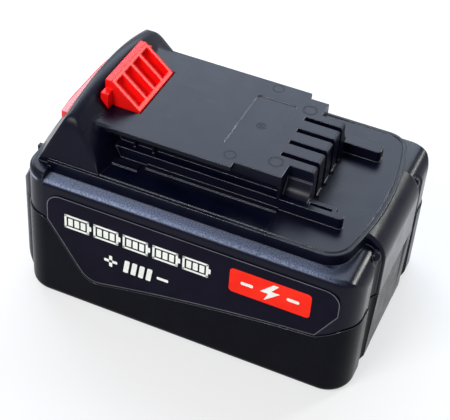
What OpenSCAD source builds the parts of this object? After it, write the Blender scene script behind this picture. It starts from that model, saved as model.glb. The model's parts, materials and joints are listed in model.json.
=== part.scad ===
// Slide-on tool battery pack: ten round cells in two holders inside a two-part moulded
// housing, with tool rails, a slotted terminal block and a sprung latch.
// X runs along the slide with the terminal end at +X, and Z is up.
// The origin lies under the middle of the cell block, on the base.

/* [Cells] */
// Diameter of one cell
cell_d = 18.3; // [17.8:0.1:19]
// Length of one cell over both ends
cell_l = 65; // [63:0.5:67]
// Plastic left between neighbouring cell bores
cell_web = 0.5; // [0.4:0.1:1.2]
// Radial clearance of a cell in its bore
cell_clear = 0.15; // [0.1:0.05:0.3]

/* [Cell holders] */
// Depth of one holder along the cells
holder_depth = 12.5; // [9:0.5:16]
// Wall outside the outer bores
holder_wall = 0.9; // [0.7:0.1:1.6]
// End lip that stops the cells
holder_lip = 1.2; // [0.8:0.1:2]
// Radius of the window in the lip in front of each cell
lip_window_r = 6; // [5:0.5:7]
// Foam pad under each holder
pad_t = 0.8; // [0.5:0.1:2]

/* [Circuit] */
// Thickness of the nickel strips
strip_t = 0.3; // [0.2:0.05:0.6]
// Height of the strips, as a margin inside the holder's height
strip_margin = 4; // [2:0.5:8]
// Radius of the weld dimples on the strips
dimple_r = 3.6; // [2:0.2:4.6]
// Width of the tab that leads from a strip to the board
tab_w = 6; // [3:0.5:10]
// Thickness of the insulating sheets over the strips
sheet_t = 0.4; // [0.2:0.1:0.8]
// Thickness of the circuit board
board_t = 1.6; // [1:0.2:2.4]
// Width of the circuit board across the pack
board_w = 54; // [50:1:58]

/* [Housing] */
// Wall of the upper housing
wall = 2.4; // [1.8:0.1:3]
// Floor of the lower housing
floor_t = 2.5; // [2:0.1:3.5]
// General assembly gap between the insides and the housing
fit_gap = 0.3; // [0.2:0.05:0.6]
// How far the lower housing stands out beyond the upper one
step_out = 0.4; // [0.2:0.1:0.8]
// Room between the cell block and the front wall
front_room = 7.6; // [7:0.1:9]
// Room between the cell block and the rear wall
rear_room = 3.2; // [2.8:0.1:6]
// Thickness of the front shield beyond the corner columns
front_shield = 0.6; // [0.4:0.1:1.4]
// Thickness of the rear shield beyond the corner columns
rear_shield = 5; // [4.6:0.1:5.8]
// Corner radius of the rear shield in plan
rear_r = 8; // [6:0.5:10]
// Half width of the front panel
front_panel_half = 17.5; // [16:0.5:18]
// Radius of the scooped channel on each side of the front panel
channel_r = 5; // [4:0.1:6]
// Rounding of the front panel from the deck down to its upright part
panel_r = 9.5; // [8.5:0.1:11]
// Corner radius of the housing in plan
corner_r = 9; // [7:0.5:11]
// Rounding along the bottom edge
bottom_r = 3; // [2:0.5:4]
// Rounding along the upper side edge
shoulder_r = 1.8; // [1.2:0.1:2.4]
// Rounding along the top of the front corners
front_r = 6; // [4:0.1:7]

/* [Parting line] */
// Height of the parting line at the rear
part_rear_z = 33.3; // [30:0.1:36]
// Height of the parting line at the front
part_front_z = 28.5; // [26:0.1:31]
// Distance from the rear end to the top of the side panel's slant
slant_top = 14.2; // [12:0.1:16]
// Distance from the rear end to the foot of the slant
slant_foot = 28.8; // [26:0.1:32]
// Height of the foot of the slant
slant_foot_z = 10.9; // [9:0.1:14]
// Distance from the front end to the front of the side panel's lower edge
sweep_end = 12.6; // [11:0.1:15]
// Height of the front of the side panel's lower edge
sweep_end_z = 23.3; // [20:0.1:26]
// Upward bow of the side panel's lower edge
sweep_bow = 1.4; // [0:0.1:3]

/* [Deck and rails] */
// Height of the deck above the side ledge
deck_step = 4.1; // [3:0.1:6]
// Width of the side ledge
ledge_w = 6.1; // [4:0.1:8]
// Distance from the front of the corner columns back to the deck's front edge
deck_setback = 5.7; // [5:0.1:7]
// Width of the lip outside the fine line round the deck
deck_lip = 1; // [0.5:0.1:1.5]
// Corner radius of the deck
deck_r = 7; // [5:0.5:9]
// Radius of the deck's bowed front edge
deck_bow = 113; // [90:1:200]
// Height of the lower rails above the deck
rail_low_h = 3.9; // [3:0.1:5]
// Height of the groove that takes the tool's rail
groove_h = 4.7; // [4.4:0.1:6]
// Height of the upper rails, up to the top plate
rail_top_h = 3.9; // [3.4:0.1:5]
// Half width over the lower rails
rail_low_half = 19.8; // [18.8:0.1:21]
// Width of one lower rail
rail_low_w = 4.6; // [3.8:0.1:4.8]
// Half width between the groove bottoms
groove_half = 16.5; // [16:0.1:17.5]
// Half width over the upper rails
rail_top_half = 20.1; // [19:0.1:21.5]
// Half width over the flanges
flange_half = 22.8; // [22:0.1:24]
// Thickness of the flanges
flange_t = 1.7; // [1.2:0.1:2.5]
// Distance from the deck's front edge back to the end of the lower rails
rail_low_setback = 7.9; // [6:0.1:10]
// Distance from the deck's front edge back to the end of the upper rails
rail_top_setback = 27.8; // [26.5:0.1:30]
// Distance from the deck's front edge back to the end of the near flange
near_flange_setback = 42.9; // [40:0.1:46]
// Distance from the deck's front edge back to the end of the far flange
far_flange_setback = 34.5; // [32:0.1:38]
// Half width inside the rail block
rail_in_half = 14.3; // [14.1:0.1:14.6]

/* [Terminal block] */
// Distance from the deck's front edge back to the front of the fins
fin_setback = 19.9; // [19:0.1:22]
// Half width over the outer fins
fin_half = 13.6; // [12.6:0.1:14.4]
// Spacing of the terminal slots
slot_pitch = 6.4; // [6:0.1:6.6]
// Width of a terminal slot
slot_w = 2; // [1.6:0.1:2.4]
// Length of a terminal slot back from the fin fronts
slot_l = 12.1; // [10:0.1:14]
// Thickness of the contact leaves
leaf_t = 0.5; // [0.3:0.1:0.7]

/* [Hump] */
// Distance from the rear end to the middle of the crest
crest_from_rear = 18.4; // [17.8:0.1:19]
// Height of the crest above the top plate
crest_rise = 7.2; // [6.6:0.1:7.8]
// Radius of the crest
crest_r = 3; // [2.4:0.1:3.6]
// Radius of the crown across the pack
crown_r = 84; // [75:1:100]
// Lean of the rear slope from upright, in degrees
rear_lean = 30; // [29:0.5:31]
// Lean of the hump's front slope from upright, in degrees
front_lean = 42; // [40:0.5:44]
// Distance from the rear end to the hump's toe on the deck
toe_from_rear = 33; // [32:0.1:34]
// Lean of the hump's ends from upright, in degrees
hump_lean = 12; // [9:0.5:15]
// Rounding between the hump's ends and its crown
hump_end_r = 6; // [4:0.5:8]

/* [Latch] */
// Half width of the latch hook
hook_half = 11.9; // [11:0.1:12.1]
// Height of the hook above the top plate
hook_rise = 8.4; // [7:0.1:9]
// Distance from the rear end to the hook's upright back face
hook_from_rear = 21.8; // [21.4:0.1:22.2]
// Length of the flat on top of the hook
hook_flat = 2; // [1.5:0.1:3]
// Length of the hook along the slide
hook_l = 11.9; // [10:0.1:13]
// Number of pockets in the hook's ramp
pocket_count = 4; // [2:1:5]
// Depth of the pockets in the ramp
pocket_depth = 2; // [1:0.1:2.6]
// Rib between two pockets
pocket_rib = 1.5; // [1:0.1:2]
// Running clearance round the latch
latch_clear = 0.5; // [0.35:0.05:0.6]
// Travel of the latch when the button is pressed
latch_travel = 5; // [4:0.1:6]
// Half width of the release button
button_half = 17; // [14:0.5:18]
// Depth of the release button's top edge under the top plate
button_drop = 4.8; // [4:0.1:6]
// How far the button's top edge stands out of the rear slope
button_proud = 2; // [1.4:0.1:2.4]
// Outer diameter of the latch springs
spring_d = 5; // [4:0.1:5.2]
// Wire of the latch springs
spring_wire = 0.7; // [0.5:0.05:0.8]
// Turns of each latch spring
spring_turns = 8; // [6:1:9]

/* [Fasteners] */
// Radius of the bosses that take the housing screws
boss_r = 2.5; // [2.2:0.1:2.6]
// Shank radius of the housing screws
screw_r = 1.2; // [1:0.05:1.3]
// Head radius of the housing screws
screw_head_r = 2.2; // [1.9:0.05:2.3]
// Head height of the housing screws
screw_head_h = 1.8; // [1.4:0.1:1.9]
// Length of the housing screws under the head
screw_l = 16; // [12:0.5:20]

/* [Hidden] */
$fn = 48;
columns = 5;
layers = 2;
far = 200;
sliver = 0.01;

// Cell block
pitch = cell_d + 2 * cell_clear + cell_web;
bore_r = cell_d / 2 + cell_clear;
block_half = pitch * (columns - 1) / 2 + bore_r + holder_wall;
block_z = floor_t + pad_t;
first_layer_z = block_z + holder_wall + bore_r;
block_top = first_layer_z + (layers - 1) * pitch + bore_r + holder_wall;
lip_y = cell_l / 2;
strip_y = lip_y + holder_lip;
sheet_y = strip_y + strip_t;
function cell_x(column) = (column - (columns - 1) / 2) * pitch;
function cell_z(layer) = first_layer_z + layer * pitch;

// Housing levels and outline
board_top = block_top + board_t;
ledge_z = board_top + strip_t + fit_gap + wall;
deck_z = ledge_z + deck_step;
rail_low_z = deck_z + rail_low_h;
groove_top_z = rail_low_z + groove_h;
plate_z = groove_top_z + rail_top_h;
plate_in_z = plate_z - wall;
half_in = sheet_y + sheet_t + fit_gap;
upper_half = half_in + wall;
lower_half = upper_half + step_out;
front_in = block_half + front_room;
rear_in = -block_half - rear_room;
core_front = front_in + wall;
core_rear = rear_in - wall;
body_front = core_front + front_shield;
body_rear = core_rear - rear_shield;
rear_shield_in = body_rear + wall;

// Deck, rails and terminal block along X
deck_half = upper_half - ledge_w;
deck_front = core_front - deck_setback;
rail_low_front = deck_front - rail_low_setback;
rail_top_front = deck_front - rail_top_setback;
near_flange_front = deck_front - near_flange_setback;
far_flange_front = deck_front - far_flange_setback;
fin_front = deck_front - fin_setback;
slot_rear = fin_front - slot_l;
pocket_w = slot_w + 4 * leaf_t;
contact_rear_gap = 2;
contact_front_gap = 3.5;
contact_x0 = slot_rear + contact_rear_gap;
contact_x1 = fin_front - contact_front_gap;
slot_count = 4;
function slot_y(i) = (i - (slot_count - 1) / 2) * slot_pitch;

// Hump section in X and Z
crest_x = body_rear + crest_from_rear;
crest_z = plate_z + crest_rise - crest_r;
toe_x = body_rear + toe_from_rear;
crest_front = [crest_x + crest_r * cos(front_lean), crest_z + crest_r * sin(front_lean)];
brow_z = plate_z - 0.8;
brow_x = crest_front[0] + (crest_front[1] - brow_z) * tan(front_lean);
slope_top = [crest_x - crest_r * cos(rear_lean), crest_z + crest_r * sin(rear_lean)];
slope_tan = tan(rear_lean);
slope_bend = 15.6;
slope_foot_x = body_rear + slope_bend * (1 - cos(rear_lean));
slope_foot_z = slope_top[1] - (slope_top[0] - slope_foot_x) / slope_tan;
slope_wall = wall / cos(rear_lean);
hump_base_z = part_rear_z - 12;
crown_z = plate_z + crest_rise - crown_r;
function slope_x(z) = slope_top[0] - (slope_top[1] - z) * slope_tan;
function slope_at(z, y) = slope_x(crown_z + norm([z - crown_z, y]));
function arc(c, r, a0, a1, n) =
    [for (i = [0:n]) c + r * [cos(a0 + (a1 - a0) * i / n), sin(a0 + (a1 - a0) * i / n)]];
hump_section = concat(
    [[toe_x, hump_base_z], [toe_x, deck_z], [brow_x, brow_z]],
    arc([crest_x, crest_z], crest_r, front_lean, 180 - rear_lean, 10),
    arc([body_rear + slope_bend, slope_foot_z - slope_bend * sin(rear_lean)], slope_bend,
        180 - rear_lean, 180, 4),
    [[body_rear, hump_base_z]]);

// Front panel and the scooped channels beside it
bend_x = body_front - panel_r;
bend_z = deck_z - panel_r;
panel_sink = 0.8;
channel_sink = 2.2;
channel_run = panel_r - channel_sink + channel_r;
channel_y = front_panel_half + 0.7 * channel_r;
panel_in_half = front_panel_half - wall;
rear_bay_half = deck_half - rear_r;
rear_shield_toe = 8;

// Parting line in X and Z, from rear to front, with rounded corners
slant_top_x = body_rear + slant_top;
slant_foot_x = body_rear + slant_foot;
sweep_end_x = body_front - sweep_end;
part_end_x = core_front - 3.9;
sweep_steps = 8;
function sweep(t) = [
    slant_foot_x + (sweep_end_x - slant_foot_x) * t,
    slant_foot_z + (sweep_end_z - slant_foot_z) * t + 4 * sweep_bow * t * (1 - t)];
function bend(a, c, b, d) =
    let (p = c + d * (a - c) / norm(a - c), q = c + d * (b - c) / norm(b - c))
    [for (i = [0:5]) let (t = i / 5) (1 - t) * (1 - t) * p + 2 * t * (1 - t) * c + t * t * q];
slant_head = [slant_top_x, part_rear_z];
side_edge = concat(
    bend([-far, part_rear_z], slant_head, sweep(0), 2.5),
    bend(slant_head, sweep(0), sweep(1 / sweep_steps), 5),
    [for (i = [1:sweep_steps - 1]) sweep(i / sweep_steps)],
    [sweep(1)]);
parting = concat(
    [[-far, part_rear_z]],
    side_edge,
    bend(sweep(1), [part_end_x, part_front_z], [far, part_front_z], 2),
    [[far, part_front_z]]);

// Latch
hook_back = body_rear + hook_from_rear;
hook_foot = hook_back + hook_l;
hook_top = plate_z + hook_rise;
ear_half = hook_half + 3;
ear_l = 2.6;
ear_rise = 5.4;
stem_top = plate_in_z - fit_gap;
stem_bottom = stem_top - 4.3;
stem_half = hook_half + 1.6;
arm_top = stem_bottom - 1;
arm_bottom = block_top + latch_travel + 0.7;
arm_half = hook_half + 1.1;
button_top = plate_z - button_drop;
button_face = slope_x(button_top) - button_proud;
window_x = button_face - latch_clear - slope_wall;
window_z = slope_top[1] - (slope_top[0] - window_x) / slope_tan;
button_bottom = max(window_z - 0.8, arm_bottom + 1.2);
button_back = button_face + 3.6;
button_bulge = 1.4;
button_bend = (button_half * button_half + button_bulge * button_bulge) / (2 * button_bulge);
foot_z = arm_bottom - 6;
foot_t = 2.4;
foot_web = 1.8;
foot_x1 = -block_half - fit_gap;
spring_x = foot_x1 - spring_d / 2;
seat_z = part_rear_z - 5;
foot_half_w = spring_d / 2 + 0.5;
spring_y = arm_half - foot_half_w - 0.5;
foot_x0 = slope_at(foot_z + foot_t, spring_y + foot_half_w) + slope_wall + latch_clear;

// Screw places and boss heights
front_boss_x = front_in - boss_r - fit_gap;
front_boss_y = 27;
rear_boss_x = -block_half - boss_r - fit_gap;
rear_boss_y = 18.5;
post_z = 8;
rear_post_z = rear_shield_toe + floor_t + fit_gap;
pilot_gap = 0.05;
front_boss_top = ledge_z - wall + 0.1;
rear_boss_top = button_bottom - latch_travel - latch_clear;
head_gap = 0.3;
head_seat = screw_head_h + 0.5;
boss_places = [
    for (side = [-1, 1]) [front_boss_x, side * front_boss_y, front_boss_top, post_z],
    for (side = [-1, 1]) [rear_boss_x, side * rear_boss_y, rear_boss_top, rear_post_z]];

// Board and the parts on it
board_x0 = hook_foot + 2;
board_x1 = front_boss_x - boss_r - 4;
board_half = board_w / 2;
board_screw_r = 0.8;
board_screw_x = [(cell_x(1) + cell_x(2)) / 2, (cell_x(3) + cell_x(4)) / 2];
board_head_r = 2 * board_screw_r;
board_screw_l = 6;
board_screw_y = min(board_half - 2, deck_half - wall - board_head_r - fit_gap);

// Label on the near side
label_t = 0.3;
label_top = ledge_z - 3.8;
label_margin = 0.5;
label_r = 5;
label_front = 6.3;
label_rise = 5.9;

// Rounded rectangle from x0 to x1, symmetric about the X axis
module rounded_plan(x0, x1, half, r) {
    translate([x0 + r, -half]) square([x1 - x0 - 2 * r, 2 * half]);
    translate([x0, -half + r]) square([x1 - x0, 2 * (half - r)]);
    for (x = [x0 + r, x1 - r], y = [-half + r, half - r]) translate([x, y]) circle(r);
}

// A section drawn in X and Z, carried along Y
module along_y(y0, y1) {
    translate([0, y1, 0]) rotate([90, 0, 0]) linear_extrude(y1 - y0) children();
}

// A section drawn in Y and Z, carried along X
module along_x(x0, x1) {
    translate([x0, 0, 0]) rotate([90, 0, 90]) linear_extrude(x1 - x0) children();
}

// A box given by its two corners
module block(low, high) {
    translate(low) cube(high - low);
}

// A block with rounded corners in plan and a rounding along its bottom or top edge
module rounded_block(x0, x1, half, z0, z1, r, edge_r, top = false) {
    edge_z = top ? z1 - edge_r : z0 + edge_r;
    flat_z0 = top ? z0 : edge_z;
    flat_z1 = top ? edge_z : z1;
    translate([0, 0, flat_z0]) linear_extrude(flat_z1 - flat_z0) rounded_plan(x0, x1, half, r);
    for (x = [x0 + r, x1 - r], y = [-half + r, half - r]) {
        translate([x, y, 0]) rotate_extrude() edge_section(r, z0, z1, edge_z, edge_r);
    }
    along_x(x0 + r, x1 - r) wide_section(-half, half, z0, z1, edge_z, edge_r);
    along_y(-half + r, half - r) wide_section(x0, x1, z0, z1, edge_z, edge_r);
}

// Half section of a rounded corner, from the axis out to r
module edge_section(r, z0, z1, edge_z, edge_r) {
    translate([0, z0]) square([r - edge_r, z1 - z0]);
    intersection() {
        translate([r - edge_r, edge_z]) circle(edge_r);
        translate([0, z0]) square([r, z1 - z0]);
    }
}

// Full section of the block with both edges rounded
module wide_section(a0, a1, z0, z1, edge_z, edge_r) {
    translate([a0 + edge_r, z0]) square([a1 - a0 - 2 * edge_r, z1 - z0]);
    for (a = [a0 + edge_r, a1 - edge_r]) translate([a, edge_z]) circle(edge_r);
}

// Everything under or over the parting line
module under_parting() {
    along_y(-far, far) polygon(concat(parting, [[far, -far], [-far, -far]]));
}
module over_parting() {
    along_y(-far, far) polygon(concat(parting, [[far, far], [-far, far]]));
}

// Deck outline: straight sides, round corners and a bowed front edge
module deck_plan(inset) {
    half = deck_half - inset;
    r = deck_r - inset;
    bow = deck_bow - inset;
    center = deck_front - deck_bow;
    corner_x = center + sqrt((bow - r) * (bow - r) - (half - r) * (half - r));
    touch_half = bow * (half - r) / (bow - r);
    rear = rear_in + 5;
    translate([rear, -half]) square([corner_x - rear, 2 * half]);
    for (side = [-1, 1]) translate([corner_x, side * (half - r)]) circle(r);
    intersection() {
        translate([rear, -touch_half]) square([far, 2 * touch_half]);
        translate([center, 0]) circle(bow, $fn = 360);
    }
}

// Plan of the rear shield and the hump over it
module rear_plan(inset) {
    rounded_plan(body_rear + inset, toe_x + far, deck_half - inset, rear_r - inset);
}

// Hump and rear wall as a solid, turned about a low axis along the pack so that the crest
// is crowned, and drawn in by an inset to give the inside
module hump_form(inset) {
    intersection() {
        translate([0, 0, crown_z]) rotate([0, 90, 0]) rotate_extrude($fn = 360)
            offset(delta = -inset) polygon([for (p = hump_section) [p[1] - crown_z, p[0]]]);
        along_x(body_rear - 1, toe_x + 1) hump_end_section(inset);
        linear_extrude(far) rear_plan(inset);
    }
}

// Section of the hump across the pack: upright to the deck, leaning in, then rounded into the crown
module hump_end_section(inset) {
    round_r = hump_end_r - inset;
    over_crown = 0.05;
    half = deck_half - inset;
    top = plate_z + crest_rise + 1;
    tip_half = half - (top - deck_z) * tan(hump_lean);
    outline = [[-half, 0], [half, 0], [half, deck_z], [tip_half, top], [-tip_half, top], [-half, deck_z]];
    offset(r = round_r, $fn = 96) offset(delta = -round_r) intersection() {
        polygon(outline);
        translate([0, crown_z]) circle(crown_r - inset + over_crown, $fn = 360);
    }
}

// Region behind the front panel: upright, then rounded back to the deck, drawn in by an inset
module behind_panel(inset) {
    along_y(-far, far) union() {
        translate([-far, -far]) square([far + body_front - inset, far + bend_z]);
        translate([-far, -far]) square([far + bend_x, far + deck_z - inset]);
        translate([bend_x, bend_z]) circle(panel_r - inset, $fn = 96);
    }
}

// Shell of the lower housing
module lower_housing() color("#17191d") {
    difference() {
        intersection() {
            union() {
                rounded_block(core_rear, core_front, lower_half, 0, ledge_z, corner_r, bottom_r);
                lower_front_shield();
                lower_rear_shield();
            }
            under_parting();
        }
        for (side = [-1, 1]) translate([front_in + wall / 2 + channel_r, side * channel_y, -1])
            cylinder(r = channel_r, h = far);
        difference() {
            lower_cavity();
            for (p = boss_places) {
                translate([p[0], p[1], 0]) cylinder(r = boss_r, h = p[3]);
                translate([p[0], p[1], 0]) cylinder(r = boss_r + 0.7, h = block_z - sliver);
            }
            for (side = [-1, 1]) spring_seat(side);
        }
        for (p = boss_places) translate([p[0], p[1], -1]) {
            cylinder(r = screw_r + head_gap, h = far);
            cylinder(r = screw_head_r + head_gap, h = 1 + head_seat);
        }
    }
}

// Inside of the lower housing, with a bay in the rear shield
module lower_cavity() {
    translate([0, 0, floor_t]) linear_extrude(far)
        rounded_plan(rear_in, front_in, half_in, corner_r - wall);
    translate([0, 0, rear_shield_toe + floor_t]) linear_extrude(far)
        block_plan(rear_shield_in, rear_in + 1, rear_bay_half);
}

module block_plan(x0, x1, half) {
    translate([x0, -half]) square([x1 - x0, 2 * half]);
}

// Shelf on the rear wall with a spigot for one latch spring
module spring_seat(side) {
    seat_t = 7;
    block([rear_shield_in - 1, side * spring_y - foot_half_w, seat_z - seat_t],
          [foot_x1, side * spring_y + foot_half_w, seat_z]);
    translate([spring_x, side * spring_y, seat_z - 1])
        cylinder(r = spring_d / 2 - spring_wire - fit_gap, h = 3.5);
}

// Front shield of the lower housing: two broad upright ribs beside a sunk panel
module lower_front_shield() {
    rear = front_in - 4;
    lean_run = 0.7;
    edge = 1.5;
    half = front_panel_half;
    outline = [
        [body_front - panel_sink, half - 6], [body_front, half - 4], [body_front, half],
        [body_front - 0.5, half + 1], [core_front, half + channel_r]];
    intersection() {
        along_y(-far, far) polygon([
            [rear, 0], [body_front - lean_run - edge, 0], [body_front - lean_run, edge],
            [body_front, part_front_z], [body_front, far], [rear, far]]);
        linear_extrude(far) union() for (side = [0, 1]) mirror([0, side])
            polygon(concat([[rear, -1], [body_front - panel_sink, -1]], outline,
                           [[rear, half + channel_r]]));
    }
}

// Rear shield of the lower housing, cut back at its foot
module lower_rear_shield() {
    intersection() {
        along_y(-far, far) polygon([
            [rear_in + 4, 0], [core_rear + 1.5, 0], [body_rear, rear_shield_toe], [body_rear, far],
            [rear_in + 4, far]]);
        linear_extrude(far) rear_plan(0);
    }
}

// Shell of the upper housing with the deck, rails, terminal block and hump
module upper_housing() color("#1b1e24") {
    difference() {
        union() {
            intersection() {
                difference() {
                    union() {
                        upper_core();
                        upper_front_panel();
                        deck_block();
                        hump_form(0);
                        rails();
                        fins();
                    }
                    upper_cavity();
                    terminal_cuts();
                }
                over_parting();
            }
            bosses();
        }
        latch_cuts();
        deck_line();
        plate_panel();
        for (p = boss_places) translate([p[0], p[1], p[3] - 1])
            cylinder(r = screw_r + pilot_gap, h = 1 + screw_l - p[3] + head_seat + 1);
    }
}

// Side walls with a rounded shoulder, a softer front edge and taller rear columns
module upper_core() {
    x0 = core_rear + step_out;
    x1 = core_front - step_out;
    r = corner_r - step_out;
    z0 = slant_foot_z - 3;
    column_rise = 2.2;
    difference() {
        rounded_block(x0, x1, upper_half, z0, ledge_z, r, shoulder_r, true);
        along_y(-far, far) translate([x1 - front_r, ledge_z - front_r]) difference() {
            square(front_r + 1);
            circle(front_r + sliver, $fn = 96);
        }
        channels();
    }
    intersection() {
        rounded_block(x0, x1, upper_half, z0, ledge_z + column_rise, r, shoulder_r, true);
        block([-far, -far, 0], [x0 + r - 0.6, far, far]);
    }
}

// Scooped channels beside the front panel, upright and then bent back over the front edge
module channels() {
    for (side = [-1, 1]) translate([bend_x, side * channel_y, 0]) {
        translate([channel_run, 0, 0]) cylinder(r = channel_r, h = bend_z + sliver);
        intersection() {
            translate([0, 0, bend_z]) rotate([90, 0, 0]) rotate_extrude($fn = 96)
                translate([channel_run, 0]) circle(channel_r);
            block([0, -far, bend_z], [far, far, far]);
        }
    }
}

// Quarter ring that follows the front panel's rounding, on an upright rod
module panel_rod(run, r) {
    translate([bend_x + run, 0, part_front_z - 4]) cylinder(r = r, h = bend_z - part_front_z + 4);
    intersection() {
        translate([bend_x, 0, bend_z]) rotate([90, 0, 0]) rotate_extrude($fn = 96)
            translate([run, 0]) circle(r);
        block([bend_x, -far, bend_z], [far, far, far]);
    }
}

// Rounded front panel with soft side edges, from the deck edge down, and a knob beside each edge
module upper_front_panel() {
    edge_r = 1.2;
    half = front_panel_half - edge_r;
    low = [front_in - 6, part_front_z - 4];
    knob_r = 1.8;
    knob = [core_front - 2.2, front_panel_half + 1.5, ledge_z - 2.1];
    knob_tail = 5;
    intersection() {
        block([low[0], -half, low[1]], [far, half, far]);
        behind_panel(0);
    }
    intersection() {
        block([low[0], -front_panel_half, low[1]], [far, front_panel_half, far]);
        behind_panel(edge_r);
    }
    for (side = [-1, 1]) {
        translate([0, side * half, 0]) panel_rod(panel_r - edge_r, edge_r);
        translate([knob[0], side * knob[1], knob[2]]) {
            sphere(knob_r);
            translate([0, 0, -knob_tail]) cylinder(r1 = 0.6, r2 = knob_r - 0.1, h = knob_tail);
        }
    }
}

// Raised deck with a lip all round
module deck_block() {
    translate([0, 0, ledge_z - wall]) linear_extrude(deck_z - ledge_z + wall) deck_plan(-deck_lip);
}

// Lower rails, upper rails, flanges and the top plate
module rails() {
    rear = toe_x - 8;
    plate_rear = crest_x;
    lower_rail(rear, false);
    mirror([0, 1, 0]) lower_rail(rear, true);
    block([plate_rear, -groove_half, deck_z - 1], [rail_top_front, groove_half, plate_z]);
    block([plate_rear, -rail_top_half, groove_top_z], [rail_top_front, rail_top_half, plate_z]);
    block([plate_rear, -flange_half, plate_z - flange_t], [near_flange_front, 0, plate_z]);
    block([plate_rear, 0, plate_z - flange_t], [far_flange_front, flange_half, plate_z]);
    pad_l = 6.1;
    pad_gap = 1.5;
    pad_h = 0.5;
    pad_y = [rail_low_half + 1.5, rail_low_half + 4.4];
    skirt_y = rail_low_half + 1.9;
    for (side = [0, 1]) mirror([0, side, 0]) {
        block([toe_x - 8, pad_y[0], deck_z - 1], [toe_x + pad_l, pad_y[1], deck_z + pad_h]);
        block([toe_x + pad_l + pad_gap, rail_low_half - 1, deck_z - 1],
              [rail_top_front, skirt_y, deck_z + pad_h]);
    }
    rib_pitch = 6.5;
    rib_t = 0.8;
    rib_reach = 1.4;
    for (i = [0:2], side = [-1, 1]) {
        x = toe_x - 4.9 + i * rib_pitch;
        y = side > 0 ? groove_half - 1 : -groove_half - rib_reach;
        block([x, y, rail_low_z - 1], [x + rib_t, y + rib_reach + 1, groove_top_z + 1]);
    }
}

// One lower rail with a rounded nose; the slotted one has a slot in its top and a shorter inner strip
module lower_rail(rear, slotted) {
    inner = rail_low_half - rail_low_w;
    nose_r = 1.2;
    strip_w = slotted ? rail_low_w - 2 * nose_r - 0.4 : 0;
    strip_front = rail_low_front - 3;
    slot_y0 = inner + 1.4;
    difference() {
        union() {
            block([rear, inner, deck_z - 1], [strip_front, rail_low_half, rail_low_z]);
            block([rear, inner + strip_w, deck_z - 1],
                  [rail_low_front - nose_r, rail_low_half, rail_low_z]);
            for (y = [inner + strip_w + nose_r, rail_low_half - nose_r])
                translate([rail_low_front - nose_r, y, deck_z - 1]) cylinder(r = nose_r, h = rail_low_h + 1);
            block([rail_low_front - nose_r - 1, inner + strip_w + nose_r, deck_z - 1],
                  [rail_low_front, rail_low_half - nose_r, rail_low_z]);
        }
        if (slotted)
            block([fin_front + 0.8, slot_y0, rail_low_z - 2.4], [strip_front - 1.2, slot_y0 + 1.2, far]);
    }
}

// Finned front of the terminal block, with a cheek that runs down to each lower rail
module fins() {
    cheek_r = rail_top_half - fin_half;
    brow_r = 1;
    along_y(-fin_half, fin_half) polygon(concat(
        [[rail_top_front - 1, deck_z - 1], [fin_front, deck_z - 1]],
        arc([fin_front - brow_r, plate_z - brow_r], brow_r, 0, 90, 5),
        [[rail_top_front - 1, plate_z]]));
    for (side = [-1, 1]) difference() {
        y = side > 0 ? fin_half - 1 : -rail_low_half;
        block([rail_top_front - 1, y, deck_z - 1],
              [fin_front, y + 1 + rail_low_half - fin_half, rail_low_z + cheek_r - 2]);
        translate([rail_top_front, side * (fin_half + cheek_r), rail_low_z + cheek_r - 1])
            rotate([0, 90, 0]) cylinder(r = cheek_r - 0.5, h = far);
        block([rail_top_front, side > 0 ? fin_half + cheek_r - 1 : -far, rail_low_z],
              [far, side > 0 ? far : -fin_half - cheek_r + 1, far]);
    }
}

// Slots between the fins and the pockets that hold the contacts
module terminal_cuts() {
    for (i = [0:slot_count - 1]) {
        block([slot_rear, slot_y(i) - slot_w / 2, deck_z - 0.5],
              [fin_front + 1, slot_y(i) + slot_w / 2, far]);
        block([contact_x0 - 0.6, slot_y(i) - pocket_w / 2, ledge_z - wall - 1],
              [contact_x1 + 0.6, slot_y(i) + pocket_w / 2, plate_in_z]);
    }
}

// Hollow inside of the upper housing
module upper_cavity() {
    intersection() {
        translate([0, 0, -1]) linear_extrude(ledge_z - wall + 1)
            rounded_plan(rear_in, front_in, half_in, corner_r - wall);
        behind_panel(channel_sink + wall / 2);
    }
    translate([0, 0, -1]) linear_extrude(deck_z - wall + 1) intersection() {
        deck_plan(wall);
        translate([toe_x - 14.9, -far]) square([far, 2 * far]);
    }
    block([rear_shield_in, -rear_bay_half, -1], [rear_in + 1, rear_bay_half, ledge_z - 8]);
    intersection() {
        block([front_in - 8, -panel_in_half, -1], [far, panel_in_half, ledge_z - wall]);
        behind_panel(wall);
    }
    hump_form(wall);
    block([crest_x, -rail_in_half, ledge_z - wall - 1], [slot_rear - wall, rail_in_half, plate_in_z]);
}

// Way for the hook through the top plate, and the window for the release button
module latch_cuts() {
    gap = latch_clear;
    block([hook_back - gap, -hook_half - gap, deck_z], [hook_foot + gap, hook_half + gap, far]);
    block([hook_back - gap, -ear_half - gap, plate_z - latch_travel - 1],
          [hook_back + ear_l + gap, ear_half + gap, far]);
    block([body_rear - 1, -button_half - gap, window_z],
          [button_back + 2, button_half + gap, button_top + gap]);
}

// Fine line round the deck, inside its lip
module deck_line() {
    line_w = 0.5;
    line_depth = 0.35;
    translate([0, 0, deck_z - line_depth]) linear_extrude(line_depth + 1) intersection() {
        difference() {
            deck_plan(0);
            deck_plan(line_w);
        }
        translate([toe_x - 3.5, -far]) square([far, 2 * far]);
    }
}

// Sunk panel on the top plate
module plate_panel() {
    sink = 0.25;
    panel_l = 13.3;
    panel_half = 14.2;
    panel_x1 = slot_rear - 4.1;
    translate([0, 0, plate_z - sink]) linear_extrude(1)
        rounded_plan(panel_x1 - panel_l, panel_x1, panel_half, 1.5);
}

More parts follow.
